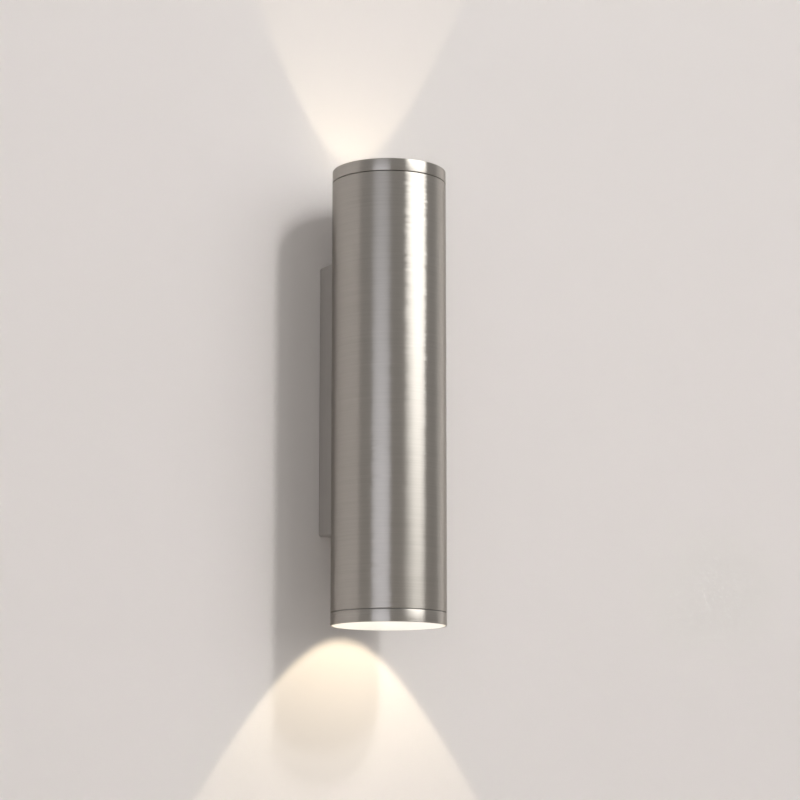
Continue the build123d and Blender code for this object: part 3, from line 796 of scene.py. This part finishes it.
def makeSky():
    # an even pale studio, lighter overhead
    world = bpy.data.worlds.new("studioAir")
    world.use_nodes = True
    tree = world.node_tree
    tree.nodes.clear()
    direction = addNode(tree, "TexCoord", {}, {})
    height = addNode(tree, "SeparateXYZ", {}, {"Vector": direction.outputs["Generated"]})
    lift = addNode(tree, "MapRange", {"interpolation_type": "SMOOTHSTEP"}, {
        "Value": height.outputs["Z"], "From Min": room["ceilingStarts"], "From Max": room["ceilingFull"]})
    colour = addNode(tree, "MixRGB", {}, {
        "Fac": lift.outputs["Result"], "Color1": linearColour(room["horizonColour"]),
        "Color2": linearColour(room["ceilingColour"])})
    sky = addNode(tree, "Background", {}, {"Color": colour.outputs["Color"]})
    addNode(tree, "OutputWorld", {}, {"Surface": sky.outputs[0]})
    bpy.context.scene.world = world


roomWall = makeWall()
roomFloor = makeFloor()
makeSky()
print("room made")

# lamps light the room and are mirrored by nothing; angles are from straight in front of the tube,
# in degrees, and distances from its middle
lamps = {
    # two small lamps near by in front, whose shadows on the wall end in two arcs; even ones don't
    # fade with distance, so the wall stays evenly lit
    "keyLow": {"azimuth": 9.6, "elevation": 33, "distance": 1.43, "size": (0.105, 0.105),
               "colour": "#fffdf8", "radiance": 40, "even": True},
    "keyHigh": {"azimuth": 10.9, "elevation": 41.2, "distance": 1.6, "size": (0.117, 0.117),
                "colour": "#fffdf8", "radiance": 24.5, "even": True},
    # soft light from the right, which the tube keeps off the wall beside it
    "fill": {"azimuth": 20, "elevation": 20, "distance": 4.0, "size": (3.0, 3.0),
             "colour": "#fffdfa", "radiance": 1.2, "even": False},
    # a little soft light from the left, into the shadow
    "leftFill": {"azimuth": -30, "elevation": 12, "distance": 3.0, "size": (2.0, 2.0),
                 "colour": "#fffdfa", "radiance": 0.5, "even": False},
}
# panels light nothing and are only mirrored
panels = {
    # the bright band on the tube's right half
    "whitePanel": {"azimuth": 30.5, "elevation": 33, "distance": 1.6, "size": (1.12, 1.6),
                   "colour": "#fffefa", "radiance": 3.5, "tubeOnly": False},
    # the dim cool band left of the middle
    "coolPanel": {"azimuth": -46, "elevation": -10, "distance": 1.2, "size": (0.8, 1.3),
                  "colour": "#ebeefa", "radiance": 0.94, "tubeOnly": True},
    # a card close by on the right, which lifts that edge of the tube
    "sideCard": {"azimuth": 88, "elevation": 8, "distance": 0.2, "size": (0.11, 0.8),
                 "colour": "#fffdfa", "radiance": 0.22, "tubeOnly": True},
}
tubeSteel = bpy.data.collections.new("tubeSteel")
for piece in (tubeShell, *rings):
    tubeSteel.objects.link(piece)


def makeAreaLight(name, plan, shape):
    turn = math.radians(plan["azimuth"])
    rise = math.radians(plan["elevation"])
    away = Vector((math.sin(turn) * math.cos(rise), -math.cos(turn) * math.cos(rise), math.sin(rise)))
    bpy.ops.object.light_add(type="AREA", location=tubeCentre + away * plan["distance"])
    light = bpy.context.active_object
    light.name = name
    light.rotation_euler = (-away).to_track_quat("-Z", "Y").to_euler()
    light.data.shape = shape
    light.data.size, light.data.size_y = plan["size"]
    light.data.color = linearColour(plan["colour"])[:3]
    light.data.energy = plan["radiance"] * math.pi * plan["size"][0] * plan["size"][1]
    light.visible_camera = False
    return light


def keepEven(light):
    light.data.use_nodes = True
    tree = light.data.node_tree
    tree.nodes.clear()
    falloff = addNode(tree, "LightFalloff", {}, {"Strength": 1.0})
    glow = addNode(tree, "Emission", {}, {"Strength": falloff.outputs["Constant"]})
    addNode(tree, "OutputLight", {}, {"Surface": glow.outputs[0]})


for name, plan in lamps.items():
    lamp = makeAreaLight(name, plan, "RECTANGLE")
    lamp.visible_glossy = False
    if plan["even"]:
        keepEven(lamp)
for name, plan in panels.items():
    panel = makeAreaLight(name, plan, "ELLIPSE")
    panel.visible_diffuse = False
    if plan["tubeOnly"]:
        panel.light_linking.receiver_collection = tubeSteel
print("room lit")

# the light's own beams fall on the wall and floor only; place and aim are from the middle of the tube
beams = {
    "upperBeam": {"place": (0, 0, 2 * mm), "aim": (0.026, 0, 1), "halfAngle": 19.8, "softness": 0.06,
                  "watts": 1.38},
    # the bright foot of the upper beam, just above the ring
    "upperGlow": {"place": (0, 15 * mm, 156 * mm), "aim": (0, 1, 0.75), "halfAngle": 42, "softness": 1.0,
                  "watts": 0.016},
    "lowerBeam": {"place": (0, 0, -54.5 * mm), "aim": (0, 0, -1), "halfAngle": 31.6, "softness": 0.08,
                  "watts": 1.4},
}
beamColour = "#ffebc8"
beamSource = 2 * mm  # radius of the glowing point, which softens the beam's edge a little
litByBeams = bpy.data.collections.new("litByBeams")
for surface in (roomWall, roomFloor):
    litByBeams.objects.link(surface)


def makeBeam(name, plan):
    bpy.ops.object.light_add(type="SPOT", location=tubeCentre + Vector(plan["place"]))
    beam = bpy.context.active_object
    beam.name = name
    beam.rotation_euler = Vector(plan["aim"]).to_track_quat("-Z", "Y").to_euler()
    beam.data.spot_size = math.radians(2 * plan["halfAngle"])
    beam.data.spot_blend = plan["softness"]
    beam.data.shadow_soft_size = beamSource
    beam.data.color = linearColour(beamColour)[:3]
    beam.data.energy = plan["watts"]
    beam.visible_glossy = False
    beam.light_linking.receiver_collection = litByBeams
    beam.light_linking.blocker_collection = litByBeams


for name, plan in beams.items():
    makeBeam(name, plan)
print("beams made")

bpy.context.scene.view_settings.view_transform = "Standard"
